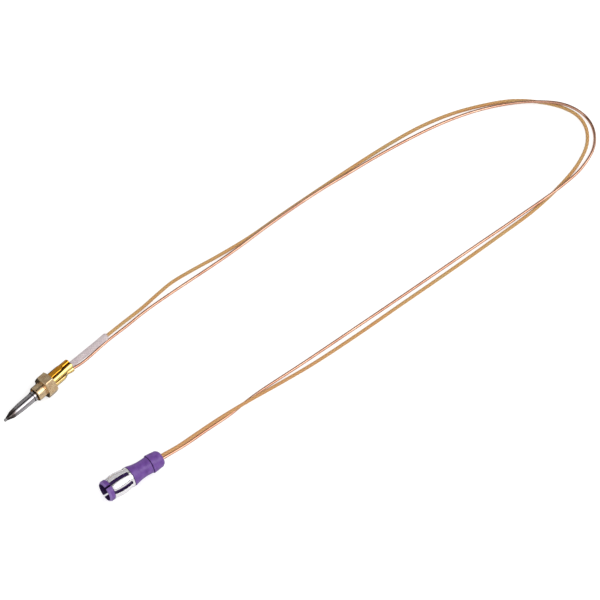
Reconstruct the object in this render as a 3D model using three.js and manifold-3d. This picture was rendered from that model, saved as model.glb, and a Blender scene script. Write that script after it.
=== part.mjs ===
// Gas-hob thermocouple: a hot-tip probe and a coaxial push-in plug, joined by two long leads.
// Millimetres, +Z up. The probe lies along +X with its hot tip forward, on the surface z = 0.
// Stations are distances along a turned group of pieces, counted back from its front reference.
import * as THREE from 'three';
import { mergeVertices } from 'three/addons/utils/BufferGeometryUtils.js';
import Module from 'manifold-3d';

const wasm = await Module();
wasm.setup();

// ---- driving dimensions -------------------------------------------------------------------

const GAP = 0.3;
const TURNED_SIDES = 40;
const SMALL_SIDES = 24;

// probe, stations counted from the centre of the weld bead
const BEAD_RADIUS = 0.725;
const SHEATH_FRONT = 0.95;
const SHEATH_RADIUS = 2.225;
const SHANK_RADIUS = 1.9;
const SHANK_REAR = 25.7;
const ROOT_RING = { front: 16.9, rear: 18.0, radius: 2.475 };
const BUSH_FRONT = 18.6;
const NECK_RADIUS = 3.5;
const HEX_FRONT = 23.3;
const HEX_REAR = 28.3;
const HEX_ACROSS_FLATS = 10;
const CRIMP_TUBE_FRONT = 26.2;
const CRIMP_TUBE_RADIUS = 3.5;
const CRIMP_TUBE_WALL = 0.4;
const CRIMP_START = 34.2;
const CRIMP_FULL = 37.0;
const CRIMP_END = 40.5;
const SEAT_RADIUS = CRIMP_TUBE_RADIUS + GAP;
const CORE_RADIUS = 0.35;

// the hexagon lies a little rolled from its flat, and the crimp is turned the other way, so that
// its wing, which holds the bare lead, points down
const HEX_ROLL = THREE.MathUtils.degToRad(13.65);
const CRIMP_ROLL = THREE.MathUtils.degToRad(-36);
const HEX_CORNER_RADIUS = HEX_ACROSS_FLATS / Math.sqrt(3);
const PROBE_HEIGHT = HEX_CORNER_RADIUS * Math.cos(Math.PI / 6 - HEX_ROLL);
const PROBE_FRONT_X = (CRIMP_END - BEAD_RADIUS) / 2;

// plug, stations counted from the front of its nose ring
const PLUG_NOSE = new THREE.Vector3(14.2, 57.8, 5.4);
const PLUG_HEADING = THREE.MathUtils.degToRad(-9);
const PLUG_ROLL = THREE.MathUtils.degToRad(-8.5);
const NOSE_LENGTH = 2.7;
const NOSE_RADIUS = 5.05;
const NOSE_RIM_RADIUS = 4.45;
const NOSE_BEVEL_LENGTH = 0.9;
const NOSE_BORE_RADIUS = 4.0;
const NOSE_SLOT_WIDTH = 1.1;
const BARREL_RADIUS = 4.2;
const MOUTH_RADIUS = 3.4;
const MOUTH_DEPTH = 8.5;
const WIRE_BORE_RADIUS = 1.8;
const SHOULDER = 14.0;
const SHOULDER_RADIUS = 4.85;
const WAIST = 21;
const WAIST_RADIUS = 3.87;
const BODY_REAR = 24.3;
const BODY_REAR_RADIUS = 4.05;
const SPIGOT_FRONT = 21.8;
const SPIGOT_RADIUS = 2.8;
const CAP_RADIUS = 4.5;
const CAP_REAR_RADIUS = 4.0;
const PLUG_LENGTH = 30.9;

// spring cage, its seam underneath
const LEAF_COUNT = 6;
const LEAF_GAP = 1.8;
const CAGE_ROLL = THREE.MathUtils.degToRad(178);
const CAGE_THICKNESS = 0.25;
const CAGE_FRONT = NOSE_LENGTH + GAP;
const CAGE_REAR = SHOULDER - GAP;
const BAND_FRONT = 12.1;
const BAND_RADIUS = 4.7;
const LEAF_RISE = 0.57;

// leads
const INSULATED_RADIUS = 0.8;
const COPPER_RADIUS = 0.65;
const SLEEVE_RADIUS = 1.4;
const SLEEVE_BORE_RADIUS = 1.05;
const LEAD_SIDES = 8;
const LEAD_STEPS = 80;

// the insulated lead, from inside the crimp, through the sleeve, round the loop, into the plug
const INSULATED_ROUTE = [
  [-17.4, 0, 5.54], [-21, 0, 5.53], [-30, 0, 5.25], [-37, 0.05, 4.8], [-43, 0.1, 4.2],
  [-53, -0.1, 2.9], [-66, -0.2, 1.4], [-77, -0.6, 0.9], [-85, -0.5, 0.82], [-96, 1.4, 0.82],
  [-109, 4.2, 0.82], [-126, 7.2, 0.82], [-144, 9.0, 0.82], [-166, 11.5, 0.82], [-186, 14.0, 0.82],
  [-206, 17.0, 0.82], [-222, 20.4, 0.82], [-237, 25.6, 0.82], [-250, 32.3, 0.82], [-261, 39.8, 0.82],
  [-269.3, 48.9, 0.82], [-274.9, 58.5, 0.82], [-276.6, 66.5, 0.82], [-274.7, 73.5, 0.82],
  [-269, 79.7, 0.82], [-259, 84.1, 0.82], [-246, 86.4, 0.82], [-228, 87.3, 0.82],
  [-207, 85.8, 0.82], [-180, 83.3, 0.82], [-152, 80.3, 0.82], [-122, 77.1, 0.82],
  [-100, 74.2, 0.95], [-82, 71.2, 1.75], [-64, 67.8, 2.35], [-50, 65.6, 2.7], [-37, 64.4, 3.6],
  [-26, 63.85, 5.2], [-16.6, 62.4, 6.08], [-4.6, 60.5, 6.08],
];

// the bare copper lead, from inside the crimp wing to inside the plug
const COPPER_ROUTE = [
  [-17.6, 1.62, 4.36], [-21.2, 1.74, 4.27], [-23.8, 2.15, 4.2], [-27, 2.42, 4.05], [-33, 2.22, 3.6],
  [-42.9, 1.55, 2.35], [-54, 1.65, 1.3], [-66, 1.8, 0.76], [-80, 3.1, 0.68], [-108, 6.6, 0.8],
  [-120, 8.0, 1.35], [-133, 9.2, 2.2], [-150, 10.9, 2.4], [-166, 12.8, 2.15], [-181, 15.0, 1.25],
  [-196, 17.4, 0.74], [-213, 21.1, 0.7], [-230, 25.8, 0.68], [-245, 31.8, 0.75], [-257, 39.1, 1.5],
  [-267, 47.6, 2.4], [-275, 57.0, 2.55], [-278.1, 64.3, 1.95], [-278.6, 71.0, 0.8],
  [-275.8, 77.6, 0.68], [-269.5, 83.3, 0.7], [-258, 87.0, 1.15], [-246, 87.8, 2.3],
  [-234, 87.0, 2.55], [-222, 85.2, 1.4], [-211, 83.8, 0.82], [-195, 81.9, 0.7], [-152, 77.1, 0.68],
  [-100, 71.0, 0.68], [-70, 67.2, 0.68], [-55, 66.7, 0.76], [-42, 65.5, 1.55], [-29, 64.8, 3.1],
  [-16.5, 63.2, 4.57], [-3.8, 61.15, 4.57],
];

// ---- materials ----------------------------------------------------------------------------

const finish = (color, metalness, roughness) =>
  new THREE.MeshStandardMaterial({ color, metalness, roughness });
const steel = finish(0xa8a5a8, 1, 0.3);
const weldedSteel = finish(0x6e6b6c, 1, 0.45);
const brass = finish(0xb8905c, 1, 0.38);
const passivatedBrass = finish(0xd9a436, 1, 0.22);
const copper = finish(0xd8a07c, 1, 0.28);
const constantan = finish(0xb0a596, 1, 0.4);
const ceramic = finish(0xe4e0d6, 0, 0.8);
const glassFibre = finish(0xc6bab9, 0, 0.9);
const tanBraid = finish(0xcaa675, 0, 0.75);
const purplePlastic = finish(0x6c4b9c, 0, 0.42);
const nickelPlate = finish(0xdcdade, 1, 0.12);
const tinPlate = finish(0xbfc0c2, 1, 0.35);

// ---- shape helpers ------------------------------------------------------------------------

// a turned solid about +Y: outline of [station, radius] pairs, outside from front to rear, then
// back along the inside; station grows towards -Y
function turned(outline, sides = TURNED_SIDES) {
  const closed = outline[0][1] > 0 ? [...outline, outline[0]] : outline;
  const points = closed.map(([station, radius]) => new THREE.Vector2(radius, -station));
  return new THREE.LatheGeometry(points.reverse(), sides);
}

function toSolid(geometry) {
  const bare = geometry.clone();
  bare.deleteAttribute('normal');
  bare.deleteAttribute('uv');
  const merged = mergeVertices(bare, 1e-5);
  return new wasm.Manifold(new wasm.Mesh({
    numProp: 3,
    vertProperties: new Float32Array(merged.attributes.position.array),
    triVerts: new Uint32Array(merged.index.array),
  }));
}

function toGeometry(solid) {
  const mesh = solid.getMesh();
  const geometry = new THREE.BufferGeometry();
  geometry.setAttribute('position', new THREE.BufferAttribute(mesh.vertProperties, 3));
  geometry.setIndex(new THREE.BufferAttribute(mesh.triVerts, 1));
  return geometry;
}

function cut(geometry, ...tools) {
  let solid = toSolid(geometry);
  for (const tool of tools) {
    solid = solid.subtract(toSolid(tool));
  }
  return toGeometry(solid);
}

// a box between two stations and two radii, centred on the plane that holds the +Z side
function radialBox(front, rear, inner, outer, width) {
  const box = new THREE.BoxGeometry(width, rear - front, outer - inner);
  return box.translate(0, -(front + rear) / 2, (inner + outer) / 2);
}

function ringPoints(radius, sides) {
  return Array.from({ length: sides }, (_, i) => {
    const angle = (2 * Math.PI * i) / sides;
    return new THREE.Vector2(radius * Math.cos(angle), radius * Math.sin(angle));
  });
}

function wire(route, radius, sides, steps, boreRadius = 0) {
  const section = new THREE.Shape(ringPoints(radius, sides));
  if (boreRadius > 0) {
    section.holes.push(new THREE.Path(ringPoints(boreRadius, sides)));
  }
  const extrudePath = new THREE.CatmullRomCurve3(route.map((point) => new THREE.Vector3(...point)));
  return new THREE.ExtrudeGeometry(section, { steps, extrudePath });
}

function place(group, name, geometry, material, roll = 0) {
  const mesh = new THREE.Mesh(geometry, material);
  mesh.name = name;
  mesh.rotation.y = roll;
  group.add(mesh);
}

// ---- probe --------------------------------------------------------------------------------

function bead() {
  const arcSteps = 6;
  const outline = Array.from({ length: arcSteps + 1 }, (_, i) => {
    const angle = (Math.PI * i) / arcSteps;
    return [-BEAD_RADIUS * Math.cos(angle), BEAD_RADIUS * Math.sin(angle)];
  });
  outline[0][1] = 0;
  outline[arcSteps][1] = 0;
  return turned(outline, SMALL_SIDES);
}

function tipSheath() {
  const boreRadius = 1.3;
  const tipBoreRadius = CORE_RADIUS + 0.25;
  return turned([
    [SHEATH_FRONT, tipBoreRadius], [SHEATH_FRONT, 0.8], [2.0, 1.15], [4.0, 1.8], [9.5, 2.2],
    [ROOT_RING.front - GAP, SHEATH_RADIUS], [ROOT_RING.front - GAP, SHANK_RADIUS],
    [SHANK_REAR, SHANK_RADIUS], [SHANK_REAR, boreRadius], [9.1, boreRadius], [4.6, tipBoreRadius],
  ]);
}

function rootRing() {
  const { front, rear, radius } = ROOT_RING;
  const boreRadius = SHANK_RADIUS + 0.15;
  const edge = 0.2;
  return turned([
    [front, boreRadius], [front, radius - edge], [front + edge, radius],
    [rear - edge, radius], [rear, radius - edge], [rear, boreRadius],
  ]);
}

function hexBush() {
  const prism = new THREE.ExtrudeGeometry(
    new THREE.Shape(ringPoints(HEX_CORNER_RADIUS, 6)),
    { depth: HEX_REAR - HEX_FRONT, bevelEnabled: false },
  );
  // the prism's length is laid along the turning axis, one flat facing +Z
  prism.rotateX(Math.PI / 2).translate(0, -HEX_FRONT, 0);
  const faceRadius = 4.75;
  const chamfer = 0.5;
  const limits = turned([
    [HEX_FRONT - 1, 0], [HEX_FRONT, faceRadius], [HEX_FRONT + chamfer, HEX_CORNER_RADIUS],
    [HEX_REAR - chamfer, HEX_CORNER_RADIUS], [HEX_REAR, faceRadius], [HEX_REAR + 1, 0],
  ]);
  const neck = turned([
    [BUSH_FRONT, 0], [BUSH_FRONT, NECK_RADIUS - 0.3], [BUSH_FRONT + 0.3, NECK_RADIUS],
    [HEX_FRONT + 1, NECK_RADIUS], [HEX_FRONT + 1, 0],
  ]);
  const shankBoreRadius = SHANK_RADIUS + 0.15;
  const recess = { radius: 2.8, depth: 0.8 };
  const bore = turned([
    [BUSH_FRONT - 1, 0], [BUSH_FRONT - 1, recess.radius], [BUSH_FRONT + recess.depth, recess.radius],
    [BUSH_FRONT + recess.depth, shankBoreRadius], [CRIMP_TUBE_FRONT - GAP, shankBoreRadius],
    [CRIMP_TUBE_FRONT - GAP, SEAT_RADIUS], [HEX_REAR + 1, SEAT_RADIUS], [HEX_REAR + 1, 0],
  ]);
  const body = toSolid(prism).intersect(toSolid(limits)).add(toSolid(neck));
  return toGeometry(body.subtract(toSolid(bore)));
}

// a quarter of the crimp's section, from the ridge top to its edge, on each side: the thin wing
// round the bare lead, and the fatter lobe
const WING = {
  outer: [
    [0, 2.3], [0.7, 2.22], [1.15, 1.95], [1.32, 1.55], [1.6, 1.28],
    [2.2, 1.25], [2.8, 1.1], [3.15, 0.65], [3.3, 0],
  ],
  inner: [
    [0, 1.9], [0.5, 1.84], [0.85, 1.6], [1.0, 1.25], [1.35, 0.9],
    [1.9, 0.9], [2.5, 0.84], [2.9, 0.5], [3.05, 0],
  ],
};
const LOBE = {
  outer: [
    [0, 2.3], [0.7, 2.22], [1.15, 1.95], [1.35, 1.65], [1.7, 1.6],
    [2.3, 1.6], [2.85, 1.25], [3.12, 0.65], [3.2, 0],
  ],
  inner: [
    [0, 1.9], [0.5, 1.84], [0.85, 1.6], [1.0, 1.3], [1.4, 1.18],
    [2.0, 1.2], [2.45, 0.95], [2.72, 0.5], [2.8, 0],
  ],
};

function fullOutline(lobe, wing) {
  const last = lobe.length - 1;
  const mirrored = (signX, signZ, points) => points.map(([x, z]) => [signX * x, signZ * z]);
  return [
    ...mirrored(1, 1, lobe.slice(0, last)),
    ...mirrored(1, -1, lobe.slice(1).reverse()),
    ...mirrored(-1, -1, wing.slice(0, last)),
    ...mirrored(-1, 1, wing.slice(1).reverse()),
  ];
}

// the round tube is drawn into the crimp: each section is part way between the two outlines
function crimpSection(crimped, radius, share) {
  return crimped.map(([x, z], i) => {
    const angle = Math.PI / 2 - (2 * Math.PI * i) / crimped.length;
    return [
      THREE.MathUtils.lerp(radius * Math.cos(angle), x, share),
      THREE.MathUtils.lerp(radius * Math.sin(angle), z, share),
    ];
  });
}

function crimpTube() {
  const blendSteps = 4;
  const stations = [[CRIMP_TUBE_FRONT, 0]];
  for (let i = 0; i <= blendSteps; i += 1) {
    const share = i / blendSteps;
    const eased = share * share * (3 - 2 * share);
    stations.push([THREE.MathUtils.lerp(CRIMP_START, CRIMP_FULL, share), eased]);
  }
  stations.push([CRIMP_END, 1]);

  const outerCrimped = fullOutline(LOBE.outer, WING.outer);
  const innerCrimped = fullOutline(LOBE.inner, WING.inner);
  const outer = stations.map(([station, share]) => ({
    station, section: crimpSection(outerCrimped, CRIMP_TUBE_RADIUS, share),
  }));
  const inner = stations.map(([station, share]) => ({
    station, section: crimpSection(innerCrimped, CRIMP_TUBE_RADIUS - CRIMP_TUBE_WALL, share),
  }));
  const rings = [...outer, ...inner.reverse()];
  const around = rings[0].section.length;
  const positions = rings.flatMap(({ station, section }) =>
    section.flatMap(([x, z]) => [x, -station, z]));
  const indices = [];
  for (let ring = 0; ring < rings.length; ring += 1) {
    const nextRing = (ring + 1) % rings.length;
    for (let i = 0; i < around; i += 1) {
      const next = (i + 1) % around;
      const a = ring * around + i;
      const b = ring * around + next;
      const c = nextRing * around + next;
      const d = nextRing * around + i;
      indices.push(a, c, b, a, d, c);
    }
  }
  const geometry = new THREE.BufferGeometry();
  geometry.setAttribute('position', new THREE.Float32BufferAttribute(positions, 3));
  geometry.setIndex(indices);
  return geometry;
}

function rod(front, rear, radius, sides = 12) {
  return turned([[front, 0], [front, radius], [rear, radius], [rear, 0]], sides);
}

function pipe(front, rear, radius, boreRadius, sides = SMALL_SIDES) {
  return turned([[front, boreRadius], [front, radius], [rear, radius], [rear, boreRadius]], sides);
}

function probe() {
  const group = new THREE.Group();
  group.position.set(PROBE_FRONT_X, 0, PROBE_HEIGHT);
  group.rotation.z = -Math.PI / 2;
  place(group, 'hot_junction_bead', bead(), weldedSteel);
  place(group, 'tip_sheath', tipSheath(), steel);
  place(group, 'root_ring', rootRing(), steel);
  place(group, 'hex_bush', hexBush(), brass, HEX_ROLL);
  place(group, 'crimp_tube', crimpTube(), passivatedBrass, CRIMP_ROLL);
  place(group, 'constantan_core', rod(1.05, 32.0, CORE_RADIUS), constantan);
  place(group, 'core_insulator', pipe(9.6, 29.5, 1.05, 0.6), ceramic);
  place(group, 'splice_barrel', pipe(30.2, 35.2, 1.0, 0.6), tinPlate);
  place(group, 'lead_core_probe_end', rod(32.3, 36.9, CORE_RADIUS), copper);
  return group;
}

// ---- plug ---------------------------------------------------------------------------------

function waistOutline() {
  const steps = 8;
  const front = SHOULDER + 0.4;
  return Array.from({ length: steps + 1 }, (_, i) => {
    const station = THREE.MathUtils.lerp(front, BODY_REAR, i / steps);
    const end = station < WAIST ? front : BODY_REAR;
    const rise = (station < WAIST ? SHOULDER_RADIUS : BODY_REAR_RADIUS) - WAIST_RADIUS;
    return [station, WAIST_RADIUS + rise * ((station - WAIST) / (end - WAIST)) ** 2];
  });
}

// the strip steps in under the shoulder, runs back inside the wall and turns in to the wire bore
const STRIP = { front: 13.0, rear: 18.0, run: 2.95, thickness: 0.3, width: 1.4 };

function stripShape(clearance) {
  const { front, rear, run, thickness } = STRIP;
  const outerEnd = BARREL_RADIUS + 0.1 + (clearance > 0 ? 1 : 0);
  const innerEnd = WIRE_BORE_RADIUS - (clearance > 0 ? 0.5 : 0);
  return new THREE.Shape([
    [front - clearance, outerEnd], [front - clearance, run - clearance],
    [rear - thickness - clearance, run - clearance], [rear - thickness - clearance, innerEnd],
    [rear + clearance, innerEnd], [rear + clearance, run + thickness + clearance],
    [front + thickness + clearance, run + thickness + clearance], [front + thickness + clearance, outerEnd],
  ].map(([station, radius]) => new THREE.Vector2(-station, radius)));
}

// the strip lies on the side of the plug that faces down
function strip(clearance) {
  const width = STRIP.width + 2 * clearance;
  const geometry = new THREE.ExtrudeGeometry(stripShape(clearance), { depth: width, bevelEnabled: false });
  const alongPlug = new THREE.Vector3(0, 1, 0);
  const outwards = new THREE.Vector3(0, 0, -1);
  const across = new THREE.Vector3(-1, 0, 0);
  const turn = new THREE.Matrix4().makeBasis(alongPlug, outwards, across);
  return geometry.translate(0, 0, -width / 2).applyMatrix4(turn);
}

function plugBody() {
  const outline = [
    [0, NOSE_BORE_RADIUS], [0, NOSE_RIM_RADIUS], [NOSE_BEVEL_LENGTH, NOSE_RADIUS],
    [NOSE_LENGTH - 0.2, NOSE_RADIUS], [NOSE_LENGTH, NOSE_RADIUS - 0.2], [NOSE_LENGTH, BARREL_RADIUS],
    [SHOULDER, BARREL_RADIUS], [SHOULDER, SHOULDER_RADIUS], ...waistOutline(),
    [BODY_REAR, SPIGOT_RADIUS + GAP], [SPIGOT_FRONT - GAP, SPIGOT_RADIUS + GAP],
    [SPIGOT_FRONT - GAP, WIRE_BORE_RADIUS], [MOUTH_DEPTH, WIRE_BORE_RADIUS],
    [MOUTH_DEPTH, MOUTH_RADIUS], [NOSE_LENGTH, MOUTH_RADIUS], [NOSE_LENGTH, NOSE_BORE_RADIUS],
  ];
  const noseSlot = radialBox(-1, NOSE_LENGTH - 0.01, -NOSE_RADIUS - 1, NOSE_RADIUS + 1, NOSE_SLOT_WIDTH);
  return cut(turned(outline), noseSlot, strip(GAP));
}

function plugRearCap() {
  return turned([
    [SPIGOT_FRONT, WIRE_BORE_RADIUS], [SPIGOT_FRONT, SPIGOT_RADIUS],
    [BODY_REAR + GAP, SPIGOT_RADIUS], [BODY_REAR + GAP, CAP_RADIUS - 0.3], [BODY_REAR + 0.6, CAP_RADIUS],
    [PLUG_LENGTH - 1.2, CAP_REAR_RADIUS], [PLUG_LENGTH - 0.4, CAP_REAR_RADIUS - 0.35],
    [PLUG_LENGTH, CAP_REAR_RADIUS - 1.0], [PLUG_LENGTH, WIRE_BORE_RADIUS],
  ]);
}

function leafRadius(station) {
  const share = THREE.MathUtils.clamp((station - CAGE_FRONT) / (BAND_FRONT - CAGE_FRONT), 0, 1);
  return BAND_RADIUS + LEAF_RISE * Math.sin(Math.PI * share);
}

function springCage() {
  const leafSteps = 6;
  const stations = Array.from({ length: leafSteps + 1 }, (_, i) =>
    THREE.MathUtils.lerp(CAGE_FRONT, BAND_FRONT, i / leafSteps));
  stations.push(CAGE_REAR);
  const half = CAGE_THICKNESS / 2;
  const shell = turned([
    ...stations.map((station) => [station, leafRadius(station) + half]),
    ...stations.slice().reverse().map((station) => [station, leafRadius(station) - half]),
  ]);
  const seam = radialBox(CAGE_FRONT - 1, CAGE_REAR + 1, 2, 8, LEAF_GAP);
  const gaps = Array.from({ length: LEAF_COUNT - 1 }, (_, i) =>
    radialBox(CAGE_FRONT - 1, BAND_FRONT + 0.3, 2, 8, LEAF_GAP)
      .rotateY((2 * Math.PI * (i + 1)) / LEAF_COUNT));
  return cut(shell, seam, ...gaps);
}

function centreContact() {
  const radius = 1.5;
  const socketRadius = 0.95;
  const crimpBoreRadius = 0.65;
  const front = 6.4;
  const rear = 15;
  const outline = [
    [12, 0], [12, socketRadius], [front, socketRadius], [front, radius - 0.2], [front + 0.3, radius],
    [rear, radius], [rear, crimpBoreRadius], [13, crimpBoreRadius], [13, 0],
  ];
  const slot = radialBox(front - 1, 10.5, -3, 3, 0.5).rotateY(Math.PI / 2);
  return cut(turned(outline, SMALL_SIDES), slot);
}

function leadCorePlugEnd() {
  const leadOffset = { x: 0.25, z: 0.57 };
  return wire([
    [0, -13.3, 0], [0, -15.2, 0], [leadOffset.x, -17.6, leadOffset.z], [leadOffset.x, -18.8, leadOffset.z],
  ], CORE_RADIUS, LEAD_SIDES, 10);
}

function plug() {
  const group = new THREE.Group();
  group.position.copy(PLUG_NOSE);
  group.rotation.z = PLUG_HEADING - Math.PI / 2;
  place(group, 'plug_body', plugBody(), purplePlastic, PLUG_ROLL);
  place(group, 'plug_rear_cap', plugRearCap(), purplePlastic, PLUG_ROLL);
  place(group, 'spring_cage', springCage(), nickelPlate, CAGE_ROLL);
  place(group, 'centre_contact', centreContact(), tinPlate, PLUG_ROLL);
  place(group, 'earth_strip', strip(0), nickelPlate, PLUG_ROLL);
  place(group, 'lead_core_plug_end', leadCorePlugEnd(), copper);
  return group;
}

// ---- leads --------------------------------------------------------------------------------

function leads() {
  const group = new THREE.Group();
  const sleeveRoute = [[-20.9, 0, 5.53], ...INSULATED_ROUTE.slice(2, 5)];
  place(group, 'glass_sleeve', wire(sleeveRoute, SLEEVE_RADIUS, 12, 10, SLEEVE_BORE_RADIUS), glassFibre);
  place(group, 'insulated_lead', wire(INSULATED_ROUTE, INSULATED_RADIUS, LEAD_SIDES, LEAD_STEPS), tanBraid);
  place(group, 'bare_copper_lead', wire(COPPER_ROUTE, COPPER_RADIUS, LEAD_SIDES, LEAD_STEPS), copper);
  return group;
}

const thermocouple = new THREE.Group();
thermocouple.add(probe(), plug(), leads());

export default thermocouple;
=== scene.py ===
"""The looks of a gas-hob thermocouple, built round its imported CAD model.

A turned piece is laid out in millimetres along its own axis: stations count back from the front
reference, and angles turn from the top towards the axis's side direction.
"""

import math
import random

import bmesh
import bpy
from mathutils import Matrix, Vector


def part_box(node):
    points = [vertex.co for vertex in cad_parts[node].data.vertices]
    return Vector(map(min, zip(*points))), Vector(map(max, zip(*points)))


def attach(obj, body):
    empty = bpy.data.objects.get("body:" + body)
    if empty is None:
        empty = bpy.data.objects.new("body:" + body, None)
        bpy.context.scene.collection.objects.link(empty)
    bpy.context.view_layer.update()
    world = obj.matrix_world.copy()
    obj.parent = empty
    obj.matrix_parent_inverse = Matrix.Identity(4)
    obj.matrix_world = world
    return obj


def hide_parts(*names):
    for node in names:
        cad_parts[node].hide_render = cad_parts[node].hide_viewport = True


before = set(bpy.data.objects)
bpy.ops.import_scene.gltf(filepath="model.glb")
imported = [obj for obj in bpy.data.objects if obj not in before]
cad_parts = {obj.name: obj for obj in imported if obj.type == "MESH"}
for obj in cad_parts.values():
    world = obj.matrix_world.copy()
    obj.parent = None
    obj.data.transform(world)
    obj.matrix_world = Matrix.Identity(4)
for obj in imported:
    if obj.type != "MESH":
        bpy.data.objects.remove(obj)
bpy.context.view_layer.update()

MM = 0.001
UP = Vector((0, 0, 1))

# ---- driving dimensions, in millimetres ----

BEAD_RADIUS = 0.725
SHANK_RADIUS = 1.9
RING_FRONT = 16.9
RING_REAR = 18.0
RING_RADIUS = 2.475
BUSH_FRONT = 18.6
NECK_RADIUS = 3.5
HEX_FRONT = 23.3
HEX_REAR = 28.3
HEX_FLAT_RADIUS = 5.0
HEX_ROLL = math.radians(13.65)
TUBE_FRONT = 26.2
TUBE_RADIUS = 3.5
TUBE_WALL = 0.4
CRIMP_START = 34.2
CRIMP_FULL = 37.0
CRIMP_END = 40.5
CRIMP_ROLL = math.radians(-36)
CORE_RADIUS = 0.35

NOSE_LENGTH = 2.7
NOSE_RADIUS = 5.05
NOSE_RIM_RADIUS = 4.45
NOSE_BEVEL_LENGTH = 0.9
NOSE_BORE_RADIUS = 4.0
NOSE_SLOT_WIDTH = 1.1
BARREL_RADIUS = 4.2
MOUTH_RADIUS = 3.4
MOUTH_DEPTH = 8.5
WIRE_BORE_RADIUS = 1.8
SHOULDER = 14.0
SHOULDER_RADIUS = 4.85
WAIST = 21.0
WAIST_RADIUS = 3.87
BODY_REAR = 24.3
BODY_REAR_RADIUS = 4.05
SPIGOT_FRONT = 21.8
SPIGOT_RADIUS = 2.8
CAP_RADIUS = 4.5
CAP_REAR_RADIUS = 4.0
PLUG_LENGTH = 30.9
PLUG_ROLL = math.radians(-8.5)

LEAF_COUNT = 6
LEAF_GAP = 1.8
CAGE_ROLL = math.radians(178)
CAGE_THICKNESS = 0.25
CAGE_FRONT = 3.0
CAGE_REAR = 13.7
BAND_FRONT = 12.1
BAND_RADIUS = 4.7
LEAF_RISE = 0.57

INSULATED_RADIUS = 0.8
COPPER_RADIUS = 0.65
SLEEVE_RADIUS = 1.5
SLEEVE_WALL = 0.28

# the braids: strands that wind each way, and millimetres to one turn
TAN_STRANDS = 4
TAN_PITCH = 8.0
GLASS_STRANDS = 9
GLASS_PITCH = 12.0

INSULATED_ROUTE = [
    (-17.4, 0, 5.54), (-21, 0, 5.53), (-30, 0, 5.25), (-37, 0.05, 4.8), (-43, 0.1, 4.2),
    (-53, -0.1, 2.9), (-66, -0.2, 1.4), (-77, -0.6, 0.9), (-85, -0.5, 0.82), (-96, 1.4, 0.82),
    (-109, 4.2, 0.82), (-126, 7.2, 0.82), (-144, 9.0, 0.82), (-166, 11.5, 0.82), (-186, 14.0, 0.82),
    (-206, 17.0, 0.82), (-222, 20.4, 0.82), (-237, 25.6, 0.82), (-250, 32.3, 0.82),
    (-261, 39.8, 0.82), (-269.3, 48.9, 0.82), (-274.9, 58.5, 0.82), (-276.6, 66.5, 0.82),
    (-274.7, 73.5, 0.82), (-269, 79.7, 0.82), (-259, 84.1, 0.82), (-246, 86.4, 0.82),
    (-228, 87.3, 0.82), (-207, 85.8, 0.82), (-180, 83.3, 0.82), (-152, 80.3, 0.82),
    (-122, 77.1, 0.82), (-100, 74.2, 0.95), (-82, 71.2, 1.75), (-64, 67.8, 2.35), (-50, 65.6, 2.7),
    (-37, 64.4, 3.6), (-26, 63.85, 5.2), (-16.6, 62.4, 6.08), (-4.6, 60.5, 6.08),
]
COPPER_ROUTE = [
    (-17.6, 1.62, 4.36), (-21.2, 1.74, 4.27), (-23.8, 2.15, 4.2), (-27, 2.42, 4.05),
    (-33, 2.22, 3.6), (-42.9, 1.55, 2.35), (-54, 1.65, 1.3), (-66, 1.8, 0.76), (-80, 3.1, 0.68),
    (-108, 6.6, 0.8), (-120, 8.0, 1.35), (-133, 9.2, 2.2), (-150, 10.9, 2.4), (-166, 12.8, 2.15),
    (-181, 15.0, 1.25), (-196, 17.4, 0.74), (-213, 21.1, 0.7), (-230, 25.8, 0.68),
    (-245, 31.8, 0.75), (-257, 39.1, 1.5), (-267, 47.6, 2.4), (-275, 57.0, 2.55),
    (-278.1, 64.3, 1.95), (-278.6, 71.0, 0.8), (-275.8, 77.6, 0.68), (-269.5, 83.3, 0.7),
    (-258, 87.0, 1.15), (-246, 87.8, 2.3), (-234, 87.0, 2.55), (-222, 85.2, 1.4),
    (-211, 83.8, 0.82), (-195, 81.9, 0.7), (-152, 77.1, 0.68), (-100, 71.0, 0.68),
    (-70, 67.2, 0.68), (-55, 66.7, 0.76), (-42, 65.5, 1.55), (-29, 64.8, 3.1), (-16.5, 63.2, 4.57),
    (-3.8, 61.15, 4.57),
]
SLEEVE_ROUTE = [(-20.9, 0.15, 5.5), (-30, 0.35, 5.25), (-37, 0.35, 4.8), (-43, 0.15, 4.2)]


# ---- camera ----

def make_camera():
    look_at = Vector((-0.1201, 0.0462, 0))
    view_width = 0.27
    turn = math.radians(135.4)
    rise = math.radians(60)
    back = Vector((math.sin(turn) * math.cos(rise), -math.cos(turn) * math.cos(rise), math.sin(rise)))
    data = bpy.data.cameras.new("camera")
    data.lens = 1500
    data.sensor_width = 36
    distance = view_width * data.lens / data.sensor_width
    data.clip_start = 0.1 * distance
    data.clip_end = 4 * distance
    camera = bpy.data.objects.new("camera", data)
    camera.location = look_at + back * distance
    camera.rotation_mode = "QUATERNION"
    camera.rotation_quaternion = (-back).to_track_quat("-Z", "Y")
    bpy.context.scene.collection.objects.link(camera)
    bpy.context.scene.camera = camera


make_camera()


# ---- axes of the two turned groups ----

class Axis:
    """A turned group's own frame, with its front reference in millimetres."""

    def __init__(self, front, back, side):
        self.front = Vector(front)
        self.back = Vector(back).normalized()
        self.side = Vector(side).normalized()

    def at(self, station, angle, radius):
        across = self.side * math.sin(angle) + UP * math.cos(angle)
        return (self.front + self.back * station + across * radius) * MM

    def place(self, station, x, z, roll=0.0):
        across = x * math.cos(roll) + z * math.sin(roll)
        up = -x * math.sin(roll) + z * math.cos(roll)
        return (self.front + self.back * station + self.side * across + UP * up) * MM


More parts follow.
